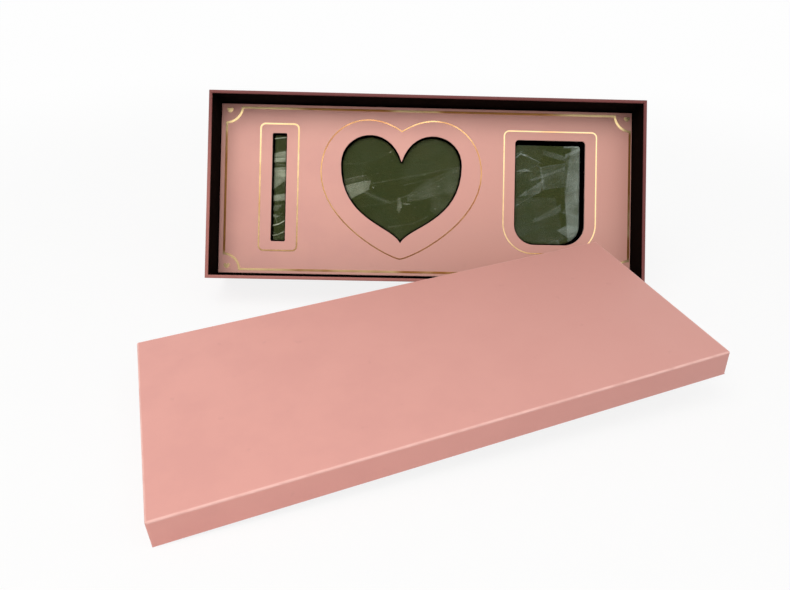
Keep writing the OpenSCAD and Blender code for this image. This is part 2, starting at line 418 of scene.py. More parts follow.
@dataclass(frozen=True)
class RubbedEdgesAndHighlight:
    """Edges round a tray's closed face, lighter in patches: partly rubbed wear, partly a painted highlight.
    """

    tint: Colour
    half_length: float
    half_width: float
    reach: float
    patches: Grain = Grain(60.0)

    def share(self, sheet: NodeSheet) -> NodeSocket:
        """How much rubbed wear and painted highlight the shaded point has, by its distance from the edges.

        Args:
            sheet: The material's nodes.

        Returns:
            The share socket.
        """
        along, across, height = sheet.off_middle(self.half_width)
        to_end = sheet.math("SUBTRACT", self.half_length, along)
        to_side = sheet.math("SUBTRACT", self.half_width, across)
        off_edge = sheet.math("ADD", sheet.math("MINIMUM", to_end, to_side), height)
        near = sheet.span(off_edge, 0.5 * self.reach, 1.25 * self.reach, 0.75, 0.0)
        return sheet.math("MULTIPLY", near, sheet.span(sheet.noise(self.patches), 0.3, 0.6, 0.45, 1.0))


@dataclass(frozen=True)
class PaperFinish(Finish):
    """Satin wrapping paper: two close tints, fine fibres, faint smudges and a soft sheen, with painted shade
    across it; some papers also get painted shade on their walls and lighter edges that are partly wear and
    partly painted highlight.
    """

    tint: Colour
    deep: Colour
    # painted shade that fades across the paper
    far: PaintedShade
    # lighter edges, partly wear and partly painted highlight
    worn: RubbedEdgesAndHighlight | None = None
    # painted shade that deepens the walls
    wall_shade: Colour | None = None
    wall_from: Pair = (1 * MM, 3 * MM)
    roughness: float = 0.46
    smudged: float = 0.12
    sheen: float = 0.12
    clouds: Grain = Grain(22.0, 3.0, 0.55)
    smudges: Grain = Grain(85.0, 2.0, 0.4)
    fibres: Grain = Grain(2600.0, 2.0, 0.6, turn=0.4, stretch=(1.0, 0.35, 1.0))
    pulp: Grain = Grain(420.0)
    waves: Grain = Grain(14.0, 1.0)
    relief: float = 0.02 * MM

    def paint(self, sheet: NodeSheet) -> None:
        """Paints the paper.

        Args:
            sheet: The material's nodes.
        """
        clouds, fibres = sheet.noise(self.clouds), sheet.noise(self.fibres)
        tint = sheet.blend(sheet.span(clouds, 0.35, 0.68), self.tint, self.deep)
        # Painted shade: the paper darkens across the tray.
        tint = sheet.blend(self.far.share(sheet), tint, self.far.tint)
        # Painted shade: the walls are tinted deeper than the closed face.
        if self.wall_shade is not None:
            on_wall = sheet.span(sheet.axes(sheet.point)[2], *self.wall_from)
            tint = sheet.blend(on_wall, tint, self.wall_shade, "MULTIPLY")
        if self.worn is not None:
            # Lighter edges: partly rubbed wear, partly a painted highlight.
            tint = sheet.blend(self.worn.share(sheet), tint, self.worn.tint)
        marks = sheet.span(sheet.noise(self.smudges), 0.70, 0.78, 0.0, self.smudged)
        tint = sheet.blend(marks, tint, darker(self.deep, 0.62))
        tint = sheet.blend(sheet.span(fibres, 0.3, 0.75, 0.0, 0.07), tint, darker(self.tint, 0.7))
        satin = sheet.span(clouds, 0.3, 0.7, self.roughness - 0.05, self.roughness + 0.06)
        height = sheet.sum((fibres, 1.0), (sheet.noise(self.pulp), 1.6), (sheet.noise(self.waves), 14.0))
        sheet.surface(Base_Color=tint, Roughness=satin, Normal=sheet.bump(height, self.relief))
        sheet.surface(Sheen_Weight=self.sheen, Sheen_Roughness=0.45, Specular_IOR_Level=0.42)


@dataclass(frozen=True)
class PaintedHighlightCorners:
    """Corners of the foil frame, where a painted highlight keeps it bright, by their distance from its
    middle.
    """

    along: float = 207 * MM
    across: float = 74 * MM
    middle: float = 96 * MM

    def away(self, sheet: NodeSheet) -> NodeSocket:
        """How little the shaded point belongs to the corners.

        Args:
            sheet: The material's nodes.

        Returns:
            The factor socket.
        """
        along, across, _ = sheet.off_middle(self.middle)
        near_end = sheet.span(along, self.along - 90 * MM, self.along - 40 * MM)
        near_side = sheet.span(across, self.across - 10 * MM, self.across)
        return sheet.span(sheet.math("MULTIPLY", near_end, near_side), 0.0, 1.0, 1.0, 0.0)


@dataclass(frozen=True)
class FoilFinish(Finish):
    """Hot-stamped gold foil that follows the waves of the paper below it. Its dull patches are partly uneven
    tone and partly painted dark reflection.
    """

    bright: Colour
    dull_and_dark_reflection: Colour
    dull_share: float
    roughness: float
    metallic: float = 1.0
    corners: PaintedHighlightCorners | None = None
    patches: Grain = Grain(17.0, 2.0, 0.6)
    rub: Grain = Grain(900.0)
    waves: Grain = Grain(48.0)
    ripples: Grain = Grain(210.0, 1.0)
    relief: float = 0.32 * MM

    def paint(self, sheet: NodeSheet) -> None:
        """Paints the foil.

        Args:
            sheet: The material's nodes.
        """
        middle = 0.72 - 0.44 * self.dull_share
        # Dull patches: partly uneven tone, partly painted dark reflection.
        dull_and_dark_reflection = sheet.span(sheet.noise(self.patches), middle - 0.12, middle + 0.12)
        # Painted highlight: the frame stays bright near its corners.
        if self.corners is not None:
            dull_and_dark_reflection = sheet.math("MULTIPLY", dull_and_dark_reflection, self.corners.away(sheet))
        rub = sheet.noise(self.rub)
        tint = sheet.blend(dull_and_dark_reflection, self.bright, self.dull_and_dark_reflection)
        tint = sheet.blend(sheet.span(rub, 0.6, 0.8, 0.0, 0.1), tint, darker(self.dull_and_dark_reflection, 0.6))
        height = sheet.sum((sheet.noise(self.waves), 1.0), (sheet.noise(self.ripples), 0.06))
        rough = sheet.span(rub, 0.3, 0.8, self.roughness - 0.02, self.roughness + 0.02)
        sheet.surface(Base_Color=tint, Roughness=rough, Normal=sheet.bump(height, self.relief))
        sheet.surface(Metallic=self.metallic, Specular_IOR_Level=0.5)


@dataclass(frozen=True)
class LiningFinish(Finish):
    """Uncoated lining paper with a fine tooth."""

    tint: Colour
    worn: Colour
    roughness: float
    gloss: float = 0.3
    clouds: Grain = Grain(30.0, 3.0)
    tooth: Grain = Grain(1800.0, 2.0, 0.6, stretch=(0.3, 1.0, 1.0))
    relief: float = 0.03 * MM

    def paint(self, sheet: NodeSheet) -> None:
        """Paints the lining.

        Args:
            sheet: The material's nodes.
        """
        clouds, tooth = sheet.noise(self.clouds), sheet.noise(self.tooth)
        tint = sheet.blend(sheet.span(clouds, 0.45, 0.75, 0.0, 0.5), self.tint, self.worn)
        tint = sheet.blend(sheet.span(tooth, 0.5, 0.8, 0.0, 0.35), tint, self.worn)
        rough = sheet.span(clouds, 0.3, 0.7, self.roughness - 0.06, self.roughness + 0.08)
        sheet.surface(Base_Color=tint, Roughness=rough, Normal=sheet.bump(tooth, self.relief))
        sheet.surface(Specular_IOR_Level=self.gloss)


@dataclass(frozen=True)
class BoardFinish(Finish):
    """Grey or white board: short fibres, darker flecks and layered cut edges."""

    tint: Colour
    fleck: Colour
    layered: float
    fibres: Grain = Grain(1500.0, 3.0, 0.6, turn=0.6, stretch=(0.25, 1.0, 1.0))
    flecks: Grain = Grain(700.0, 1.0)
    plies: Grain = Grain(3200.0, 1.0, stretch=(0.02, 0.02, 1.0))
    relief: float = 0.06 * MM

    def paint(self, sheet: NodeSheet) -> None:
        """Paints the board.

        Args:
            sheet: The material's nodes.
        """
        fibres, flecks = sheet.noise(self.fibres), sheet.noise(self.flecks)
        tint = sheet.blend(sheet.span(fibres, 0.35, 0.7, 0.0, 0.4), self.tint, darker(self.tint, 0.8))
        tint = sheet.blend(sheet.span(sheet.noise(self.plies), 0.4, 0.6, 0.0, self.layered), tint, self.fleck)
        tint = sheet.blend(sheet.span(flecks, 0.68, 0.76, 0.0, 0.6), tint, self.fleck)
        normal = sheet.bump(sheet.sum((fibres, 1.0), (flecks, 0.6)), self.relief)
        rough = sheet.span(fibres, 0.2, 0.8, 0.78, 0.92)
        sheet.surface(Base_Color=tint, Roughness=rough, Normal=normal, Specular_IOR_Level=0.25)


@dataclass(frozen=True)
class FoamFinish(Finish):
    """Damp flower foam: deep green, matte, with fine open pores darkened by painted shade, and drier spots.
    """

    damp: Colour
    dry: Colour
    pore_shade: Colour
    pores_per_metre: float = 1100.0
    clouds: Grain = Grain(26.0, 4.0, 0.6)
    crumbs: Grain = Grain(380.0, 3.0)
    relief: float = 0.35 * MM

    def paint(self, sheet: NodeSheet) -> None:
        """Paints the foam.

        Args:
            sheet: The material's nodes.
        """
        cells = {"Vector": sheet.point, "Scale": self.pores_per_metre}
        pores, clouds = sheet.add("TexVoronoi", cells).outputs["Distance"], sheet.noise(self.clouds)
        tint = sheet.blend(sheet.span(clouds, 0.3, 0.72), self.damp, self.dry)
        # Painted shade darkens the pores.
        tint = sheet.blend(sheet.span(pores, 0.0, 0.35, 0.75, 0.0), tint, self.pore_shade)
        normal = sheet.bump(sheet.sum((pores, 1.0), (sheet.noise(self.crumbs), 1.4)), self.relief)
        rough = sheet.span(clouds, 0.3, 0.7, 0.88, 0.97)
        sheet.surface(Base_Color=tint, Roughness=rough, Normal=normal, Specular_IOR_Level=0.15)


@dataclass(frozen=True)
class Fold:
    """A flat fold of the film that mirrors the light, as a painted reflection: its painted reflection, X and
    Y of its corners in mm, its blur.

    The corners go round anticlockwise.
    """

    painted_reflection: float
    corners: tuple[float, ...]
    soft: float = 0.5

    def share(self, sheet: NodeSheet, point: NodeSocket) -> NodeSocket:
        """Painted reflection that the fold adds at a point.

        Args:
            sheet: The material's nodes.
            point: The point in tray coordinates, with a Z of 1.

        Returns:
            The factor socket.
        """
        inside: object = 1.0
        corners = [Vector(corner) * MM for corner in zip(self.corners[::2], self.corners[1::2])]
        for first, second in zip(corners, (*corners[1:], corners[0])):
            inward = (second - first).orthogonal().normalized()
            line = (*inward, -inward.dot(first))
            side = sheet.vector("DOT_PRODUCT", point, line, output="Value")
            inside = sheet.math("MINIMUM", side, inside)
        return sheet.span(inside, -self.soft * MM, self.soft * MM, 0.0, self.painted_reflection)


@dataclass(frozen=True)
class Crinkle:
    """How a film lies in folds: their direction, spacing and height."""

    turn: float
    along: float
    across: float
    height: float
    fine: float

    def rise(self, point: Vector) -> float:
        """Height of the film over the foam at a point.

        Args:
            point: The point in tray coordinates.

        Returns:
            The height.
        """
        flat = Vector((point.x, point.y, 0.0))
        flat.rotate(Euler((0.0, 0.0, -self.turn)))
        warp = 0.35 * self.across * noise.noise(flat / self.across * 0.5)
        big = Vector((flat.x / self.along, (flat.y + warp) / self.across, 3.1))
        ridge = 1.0 - abs(noise.noise(big)) * 2.2
        small = Vector((flat.x / self.along * 2.6, flat.y / self.across * 2.7, 8.7))
        crease = 1.0 - abs(noise.noise(small)) * 2.6
        return self.height * max(ridge, 0.0) ** 3 + self.fine * max(crease, 0.0) ** 2


@dataclass(frozen=True)
class FilmFinish(Finish):
    """Thin clear film: flat facets between sharp folds, each whitened by a painted reflection as it lies to
    the light, with painted highlights along the creases and painted glints.
    """

    tint: Colour
    crinkle: Crinkle
    folded: tuple[Fold, ...]
    # painted reflection on the facets
    painted_reflection: float
    pale: float
    # painted highlight lines along the folds
    crease: float
    warp: float
    pale_from: float = 0.8
    shift: Pair = (0.0, 0.0)
    squeeze: float = 0.22
    facets_per_metre: float = 34.0
    bends: Grain = Grain(14.0)
    drift: Grain = Grain(55.0)
    glints: Grain = Grain(900.0, 1.0)
    fine: Grain = Grain(260.0)
    relief: float = 0.4 * MM

    def paint(self, sheet: NodeSheet) -> None:
        """Paints the film.

        Args:
            sheet: The material's nodes.
        """
        bend = sheet.noise(self.bends, output="Color")
        pull = sheet.vector("MULTIPLY_ADD", bend, (self.warp,) * 3, (-self.warp / 2,) * 3)
        moved = sheet.vector("ADD", sheet.point, pull)
        turned = sheet.mapped(moved, Rotation=(0.0, 0.0, -self.crinkle.turn), Location=(*self.shift, 0.0))
        facets = sheet.mapped(turned, Scale=(self.squeeze, 1.0, 0.0))
        cells = {"Vector": facets, "Scale": self.facets_per_metre}
        facet = sheet.add("TexVoronoi", cells).outputs["Color"]
        chance, creased, level = sheet.add("SeparateColor", {"Color": facet}).outputs
        edge = sheet.add("TexVoronoi", cells, feature="DISTANCE_TO_EDGE").outputs["Distance"]
        flat = sheet.mapped(moved, Scale=(1, 1, 0), Location=(0, 0, 1))
        folded = sheet.sum(*((fold.share(sheet, flat), 1.0) for fold in self.folded))
        # Painted reflection: facets and folds whiten the film as if they mirrored the light.
        painted_reflection = sheet.span(chance, 0.30, 0.75, 0.0, self.painted_reflection)
        pale = sheet.span(chance, self.pale_from, self.pale_from + 0.02, 0.0, self.pale)
        drift = sheet.span(sheet.noise(self.drift, turned), 0.3, 0.7, 0.55, 1.35)
        painted_reflection = sheet.math("MULTIPLY", sheet.sum((painted_reflection, 1.0), (pale, 1.0), (folded, 1.0)), drift)
        # Painted highlights: bright lines along the folds, and painted glints.
        line = sheet.span(edge, 0.0, 0.028, self.crease, 0.0)
        crease = sheet.math("MULTIPLY", line, sheet.span(creased, 0.45, 0.7))
        glints = sheet.span(sheet.noise(self.glints, facets), 0.75, 0.79, 0.0, 0.5)
        fine = sheet.noise(self.fine, facets)
        lift = sheet.sum((level, 1.0), (fine, 0.35), (folded, 2.0))
        alpha = sheet.sum((painted_reflection, 1.0), (crease, 1.0), (glints, 1.0))
        rough = sheet.span(fine, 0.3, 0.7, 0.08, 0.22)
        sheet.surface(Base_Color=opaque(self.tint), Alpha=alpha, Roughness=rough, IOR=1.5)
        sheet.surface(Normal=sheet.bump(lift, self.relief))


def place_object(name: str, form: BMesh, material: Material | None = None) -> Object:
    """Makes an object at the origin.

    Args:
        name: Name of the object and of its mesh.
        form: Its mesh, which is freed.
        material: Its material.

    Returns:
        The object.
    """
    mesh = bpy.data.meshes.new(name)
    form.to_mesh(mesh)
    form.free()
    if material is not None:
        mesh.materials.append(material)
    piece = bpy.data.objects.new(name, mesh)
    bpy.context.scene.collection.objects.link(piece)
    return piece


@dataclass
class Piece:
    """A new mesh of the object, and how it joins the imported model."""

    name: str
    body: Body
    slot: Slot
    material: Material
    node: str
    sharp: float = math.radians(38)

    def add(self, form: BMesh, place: Matrix, thickness: float = 0.0) -> Object:
        """Makes the object, which rides on its body and stands for its CAD node.

        Its flat panels are shaded flat and its soft edges smooth.

        Args:
            form: The mesh in tray coordinates. It is freed.
            place: The matrix from tray coordinates to the frame.
            thickness: Thickness that a skin gets, away from its outer side.

        Returns:
            The object at the origin, with its place in its mesh.
        """
        form.normal_update()
        all_soft = self.sharp >= math.pi
        soft = [all_soft or max(abs(part) for part in face.normal) < FLAT for face in form.faces]
        form.transform(place)
        piece = place_object(self.name, form, self.material)
        piece.data.set_sharp_from_angle(angle=self.sharp)
        piece.data.polygons.foreach_set("use_smooth", soft)
        if thickness:
            wall = piece.modifiers.new("thickness", "SOLIDIFY")
            wall.thickness, wall.offset, wall.use_even_offset = thickness, -1.0, True
            apply_modifiers(piece)
        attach(piece, self.body.value)
        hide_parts(self.node)
        LOG.info("%s rides on %s", self.name, self.body.value)
        return piece


def apply_modifiers(piece: Object) -> None:
    """Bakes the modifiers of an object into its mesh.

    Args:
        piece: The object.
    """
    seen = piece.evaluated_get(bpy.context.evaluated_depsgraph_get())
    baked = bpy.data.meshes.new_from_object(seen)
    old = piece.data
    piece.modifiers.clear()
    piece.data = baked
    baked.name = piece.name
    bpy.data.meshes.remove(old)


def dress(material: Material, *nodes: str) -> None:
    """Gives CAD nodes their finish.

    Args:
        material: The material.
        *nodes: The nodes' names.
    """
    for node in nodes:
        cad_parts[node].material_slots[0].material = material
        LOG.info("%s is dressed in %s", node, material.name)


def merged_copy(node: str, place: Matrix) -> BMesh:
    """A merged copy of a CAD node in tray coordinates.

    Args:
        node: The node's name.
        place: The matrix from tray coordinates to the frame.

    Returns:
        The copy.
    """
    form = bmesh.new()
    form.from_mesh(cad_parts[node].data)
    bmesh.ops.remove_doubles(form, verts=form.verts, dist=2e-6)
    form.transform(place.inverted())
    form.normal_update()
    return form


def open_edges(form: BMesh) -> list[BMEdge]:
    """The edges where a skin ends."""
    return [edge for edge in form.edges if edge.is_boundary]


def extruded(form: BMesh, edges: list[BMEdge]) -> list[BMVert]:
    """Extrudes edges of a skin, and gives the new vertices."""
    made = bmesh.ops.extrude_edge_only(form, edges=edges)["geom"]
    return [part for part in made if isinstance(part, BMVert)]


def is_fold(edge: BMEdge) -> bool:
    """Whether an edge lies between two faces that meet at about a right angle."""
    return len(edge.link_faces) == 2 and edge.calc_face_angle() > math.radians(60)


def round_off(form: BMesh, edges: list[BMEdge], radius: float, segments: int) -> None:
    """Bevels edges in an arc."""
    arc = {"offset": radius, "segments": segments, "profile": 0.5}
    bmesh.ops.bevel(form, geom=edges, affect="EDGES", material=-1, **arc)


def on_edge(point: Vector, half: float, low: float, high: float) -> bool:
    """Whether a point lies on the outline of a rectangle, by half its length and its Y from low to high."""
    return min(abs(abs(point.x) - half), abs(point.y - low), abs(point.y - high)) < NEAR


@dataclass
class TrayForm:
    """A tray of board in wrapping paper, with soft outer edges."""

    length: float
    width: float
    depth: float
    board: float
    paper: float
    turn_in: float
    edge_r: float

    @property
    def rim_r(self) -> float:
        """Radius of the paper's folds over the rim."""
        return min(0.75 * self.edge_r, 0.4 * (self.board + 2 * self.paper))

    def skin(self, inset: float, over: float, down: float) -> BMesh:
        """The outside of a tray, over its rim and down its inside.

        Args:
            inset: How far the skin lies inside the tray's outside.
            over: How far it goes over the rim.
            down: How far it goes down the inside.

        Returns:
            The skin with an open inner edge.
        """
        form = bmesh.new()
        bmesh.ops.create_cube(form, size=1.0)
        size = [side - 2 * inset for side in (self.length, self.width, self.depth)]
        middle = Matrix.Translation((0, self.width / 2, self.depth / 2))
        bmesh.ops.transform(form, matrix=middle @ Matrix.Diagonal((*size, 1)), verts=form.verts)
        form.normal_update()
        top = [face for face in form.faces if face.normal.z > 0.9]
        bmesh.ops.delete(form, geom=top, context="FACES_ONLY")
        inward = Matrix.Diagonal((*((side - 2 * over) / side for side in size[:2]), 1, 1))
        rim = extruded(form, open_edges(form))
        bmesh.ops.transform(form, matrix=middle @ inward @ middle.inverted(), verts=rim)
        bmesh.ops.translate(form, vec=(0, 0, -down), verts=extruded(form, open_edges(form)))
        form.normal_update()
        return form

    def soften(self, form: BMesh, inset: float) -> None:
        """Bevels the outer edges and the rim.

        Args:
            form: The skin.
            inset: How far the skin lies inside the tray's outside.
        """
        half, far, high = self.length / 2 - inset, self.width - inset, self.depth - inset
        folds = [e for e in form.edges if is_fold(e)]
        rim = [e for e in folds if all(abs(v.co.z - high) < NEAR for v in e.verts)]
        round_off(form, rim, self.rim_r - inset, 3)
        folds = [e for e in form.edges if is_fold(e) and e.calc_face_angle_signed() > 0]
        outer = [
            e for e in folds
            if all(on_edge(v.co, half, inset, far) or abs(v.co.z - inset) < NEAR for v in e.verts)
        ]
        round_off(form, outer, self.edge_r - inset, 5)

    def paper_form(self) -> BMesh:
        """The wrapping paper as a skin, turned in over the rim.

        Returns:
            The skin.
        """
        form = self.skin(0.0, self.board + 2 * self.paper, self.turn_in)
        self.soften(form, 0.0)
        return form

    def board_form(self) -> BMesh:
        """The board inside the paper.

        Returns:
            The closed board.
        """
        form = self.skin(self.paper, self.board, self.depth - 2 * self.paper - self.board)
        bmesh.ops.contextual_create(form, geom=open_edges(form))
        form.normal_update()
        self.soften(form, self.paper)
        return form


@dataclass
class WrappedTray(ABC):
    """A tray of board in wrapping paper, with a lining."""

    sizes: BoxSizes
    place: Matrix
    body: Body
    paper_slot: Slot
    edge_r: float
    wrap: PaperFinish
    lining: LiningFinish
    board: BoardFinish

    @abstractmethod
    def tray(self) -> TrayForm:
        """The tray's form."""

    def build(self) -> None:
        """Builds paper and board, and dresses the lining."""
        tray, name = self.tray(), self.body.value
        wrap, core = self.wrap.make(self.place), self.board.make(self.place)
        paper = Piece(f"{name}_wrapping_paper", self.body, self.paper_slot, wrap, f"{name}_wrap")
        paper.add(tray.paper_form(), self.place, tray.paper)
        board = Piece(f"{name}_grey_board", self.body, Slot.GREYBOARD, core, f"{name}_board")
        board.add(tray.board_form(), self.place)
        dress(self.lining.make(self.place), f"{name}_lining")


@dataclass
class BaseBox(WrappedTray):
    """The leaning base: board, wrapping paper and black lining."""

    body: Body = Body.BASE
    paper_slot: Slot = Slot.ROSE_PAPER
    edge_r: float = 1.2 * MM
    wrap: PaperFinish = PaperFinish(
        "rose_wrap", tint=(0.425, 0.163, 0.141), deep=(0.395, 0.148, 0.128), roughness=0.5,
        # Painted shade: the rim is darkened towards the top and the right of the leaning base.
        far=PaintedShade((0.15, 0.034, 0.034), start=(-0.215, 0.06, 0.08), end=(-0.155, 0.21, 0.08), over=78 * MM),
        # Lighter edges, partly rubbed wear and partly a painted highlight.
        worn=RubbedEdgesAndHighlight((0.62, 0.32, 0.28), half_length=225 * MM, half_width=96 * MM, reach=1.2 * MM),
    )
    lining: LiningFinish = LiningFinish(
        "black_lining_paper", (0.003, 0.0015, 0.0012), (0.007, 0.0035, 0.0022), 0.9, gloss=0.03
    )
    board: BoardFinish = BoardFinish("grey_core", (0.30, 0.28, 0.25), (0.15, 0.14, 0.12), 0.4)

    def tray(self) -> TrayForm:
        """The base's form."""
        s = self.sizes
        return TrayForm(
            s.base_length, s.base_width, s.base_depth, s.base_board, s.paper, s.turn_in, self.edge_r
        )


@dataclass
class Lid(WrappedTray):
    """The lid: board, wrapping paper and pale lining."""

    body: Body = Body.LID
    paper_slot: Slot = Slot.BLUSH_PAPER
    edge_r: float = 1.5 * MM
    wrap: PaperFinish = PaperFinish(
        # The walls' deeper tint is painted shade.
        "blush_wrap", tint=(0.79, 0.383, 0.332), deep=(0.755, 0.365, 0.32), wall_shade=(0.985, 0.90, 0.89),
        # Painted shade: the lid's paper darkens towards its far right end.
        far=PaintedShade((0.665, 0.325, 0.283), start=(-0.18, 0.2, 0.0), end=(0.2, 0.0, 0.0)),
        # Lighter edges round the lid's top: partly wear, partly a painted highlight.
        worn=RubbedEdgesAndHighlight((0.97, 0.62, 0.56), half_length=228 * MM, half_width=99 * MM, reach=1.5 * MM),
    )
    lining: LiningFinish = LiningFinish("pale_lining_paper", (0.80, 0.72, 0.66), (0.70, 0.62, 0.56), 0.7)
    board: BoardFinish = BoardFinish("lid_grey_core", (0.30, 0.28, 0.25), (0.15, 0.14, 0.12), 0.4)

    def tray(self) -> TrayForm:
        """The lid's form."""
        s = self.sizes
        return TrayForm(s.lid_length, s.lid_width, s.lid_depth, s.lid_board, s.paper, s.turn_in, self.edge_r)


@dataclass
class Platform:
    """The platform: card, its coated face and the gold foil on it."""

    sizes: BoxSizes
    place: Matrix
    hem: float = 5 * MM
    hem_r: float = 0.8 * MM
    face: PaperFinish = PaperFinish(
        "blush_face_sheet", (0.785, 0.41, 0.348), (0.75, 0.387, 0.335), roughness=0.42, smudged=0.06,
        # Painted shade: the face darkens towards its lower right.
        far=PaintedShade((0.69, 0.355, 0.30), start=(-0.06, 0.14, 0.0), end=(0.10, 0.03, 0.0)),
    )
    card: BoardFinish = BoardFinish("platform_card_stock", (0.58, 0.42, 0.36), (0.36, 0.25, 0.21), 0.3)
    # The foils' dull patches are partly uneven tone and partly painted dark reflection.
    outline_foil: FoilFinish = FoilFinish("outline_foil", (0.93, 0.73, 0.46), (0.78, 0.53, 0.29), 0.3, 0.18)
    heart_foil: FoilFinish = FoilFinish(
        "heart_outline_foil", (0.76, 0.49, 0.25), (0.45, 0.22, 0.10), 0.45, 0.18
    )
    # The frame foil's bright corners are a painted highlight.
    frame_foil: FoilFinish = FoilFinish(
        "frame_foil_gold", (1.0, 0.80, 0.45), (0.47, 0.22, 0.06), 0.65, 0.25, 0.68, PaintedHighlightCorners()
    )

    def build(self) -> None:
        """Builds and dresses the platform."""
        dress(self.card.make(self.place), "platform_board", "platform_skirt")
        dress(self.outline_foil.make(self.place), "slot_foil", "pocket_foil")
        dress(self.heart_foil.make(self.place), "heart_foil")
        dress(self.frame_foil.make(self.place), "frame_foil", "corner_heart_foils")
        face = self.face.make(self.place)
        sheet = Piece("platform_face_sheet", Body.BASE, Slot.BLUSH_FACE, face, "platform_face")
        sheet.add(self.face_form(), self.place, self.sizes.paper)

    def face_form(self) -> BMesh:
        """The face as a skin with its windows, folded down over the platform's four edges.

        Returns:
            The skin.
        """
        form = merged_copy("platform_face", self.place)
        others = [face for face in form.faces if face.normal.z < 0.9]
        bmesh.ops.delete(form, geom=others, context="FACES")
        half = max(v.co.x for v in form.verts)
        low, high = min(v.co.y for v in form.verts), max(v.co.y for v in form.verts)
        outer = [e for e in open_edges(form) if all(on_edge(v.co, half, low, high) for v in e.verts)]
        middle = Matrix.Translation((0, (low + high) / 2, 0))
        grown = self.sizes.paper
        growth = Matrix.Diagonal((1 + grown / half, 1 + 2 * grown / (high - low), 1, 1))
        rim = list({v for e in outer for v in e.verts})
        bmesh.ops.transform(form, matrix=middle @ growth @ middle.inverted(), verts=rim)
        bmesh.ops.translate(form, vec=(0, 0, -self.hem), verts=extruded(form, outer))
        form.normal_update()
        round_off(form, [e for e in form.edges if is_fold(e)], self.hem_r, 4)
        return form


# Patches of painted reflection on the three films, as flat folds that would mirror the light.
SLOT_FOLDS = (
    Fold(0.75, (-168, 149.6, -152, 151.8, -152, 153.2, -168, 150.8), 0.3),
    Fold(0.34, (-168, 124.6, -152, 125.6, -152, 130.6, -168, 129.6)),
    Fold(0.28, (-168, 130.4, -152, 131.2, -152, 137.4, -168, 134)),
    Fold(0.08, (-168, 121.2, -152, 121.8, -152, 122.8, -168, 122.2), 0.3),
    Fold(0.20, (-168, 93.5, -152, 106, -152, 119.9, -168, 118.8)),
    Fold(0.18, (-163.5, 109.5, -152, 109, -152, 116.5, -163.5, 115.8), 1.2),
    Fold(0.28, (-168, 83.2, -152, 84.2, -152, 91.5, -168, 88.8)),
    Fold(0.14, (-168, 73.6, -160, 73.4, -155.5, 79.8, -168, 78.5), 1),
    Fold(0.20, (-168, 65, -161.5, 69.4, -168, 68.8)),
    Fold(0.75, (-168, 55.8, -158, 58.8, -158, 60, -168, 57.4), 0.3),
    Fold(0.60, (-158, 58.8, -152, 62.2, -152, 63.6, -158, 60), 0.3),
    Fold(0.40, (-168, 45.2, -158, 47.6, -158, 48.9, -168, 46.8), 0.3),
    Fold(0.30, (-158, 47.6, -152, 51, -152, 52.2, -158, 48.9), 0.3),
)
HEART_FOLDS = (
    Fold(0.18, (-92, 86, -81, 87.2, -62.2, 97.9, -60.2, 108.6, -92, 100)),
    Fold(0.02, (-92, 100.4, -60.6, 108.5, -63, 112.5, -92, 106.2)),
    Fold(0.05, (-92, 106.2, -65, 113.2, -65.6, 114.3, -92, 107.2), 0.3),
    Fold(0.03, (-20.1, 84.7, 5.4, 91, 40, 99, 40, 127.5, 5, 112, -13.3, 100.3, -20.2, 92.2)),
    Fold(0.025, (6, 77, 14, 70, 40, 80, 40, 99, 5.4, 91), 1.5),
    Fold(0.04, (-24, 103.8, 4.5, 111.4, 4.5, 112.3, -24, 104.8), 0.3),
    Fold(0.09, (-30.3, 90.2, -31.4, 77, -29.1, 71.7, -26.1, 78.8, -27.2, 89.4)),
    Fold(0.06, (-27, 83.6, -21.8, 81.4, -15.6, 83, -26.8, 84.8), 0.3),
    Fold(0.35, (-58, 100, -56.9, 99.4, -57.2, 101.6, -58.2, 101.6), 0.3),
    Fold(0.25, (-39.2, 115.2, -38.4, 115.2, -38.4, 116.2, -39.2, 116.2), 0.3),
    Fold(0.04, (-41, 56.2, -13.5, 61.6, -13.5, 62.6, -41, 57.4), 0.3),
    Fold(0.04, (-13.5, 61.6, 3.1, 70.2, 3.1, 71.4, -13.5, 62.6), 0.3),
    Fold(0.003, (-45, 40, 10, 40, 14, 75, 3.1, 71, -13.5, 62.2, -41, 57)),
    Fold(0.009, (-27, 107, 38, 125, 38, 162, -27, 162), 2.5),
)
POCKET_FOLDS = (
    Fold(0.22, (94, 132.4, 101, 139.6, 101, 141, 94, 134.4), 0.4),
    Fold(0.30, (101, 139.6, 107, 137.6, 107, 139.4, 101, 141), 0.4),
    Fold(0.12, (107, 137.6, 124, 130, 107, 139.4), 0.4),
    Fold(0.50, (103.8, 138.3, 105.8, 138.3, 105.8, 139.6, 103.8, 139.6), 0.4),
    Fold(0.10, (94, 137.4, 103.5, 143, 103.5, 143.8, 94, 138.6), 0.4),
    Fold(0.09, (96, 120.2, 113, 121, 106.5, 124.4)),
    Fold(0.05, (99, 93.5, 122, 97, 128, 114)),
    Fold(0.09, (99, 93.5, 108, 94.8, 108, 101)),
    Fold(0.13, (154, 46, 169, 50, 169, 152, 157, 152, 150, 100), 0.8),
    Fold(0.20, (148, 148.4, 169, 148.4, 169, 150.6, 148, 150.4), 0.4),
    Fold(0.14, (150, 137, 169, 146.5, 169, 150, 150, 141.5)),
    Fold(0.09, (142, 57.7, 154, 50.6, 167, 52, 165, 62.6, 151, 63.2)),
    Fold(0.018, (92, 46, 150, 46, 140, 93, 92, 92)),
    Fold(0.05, (112, 110, 150, 124, 150, 127.5, 112, 112.5)),
    Fold(0.05, (125, 140, 157, 131, 157, 137, 125, 145.5)),
    Fold(0.04, (116, 66, 146, 78, 146, 86, 116, 70)),
)


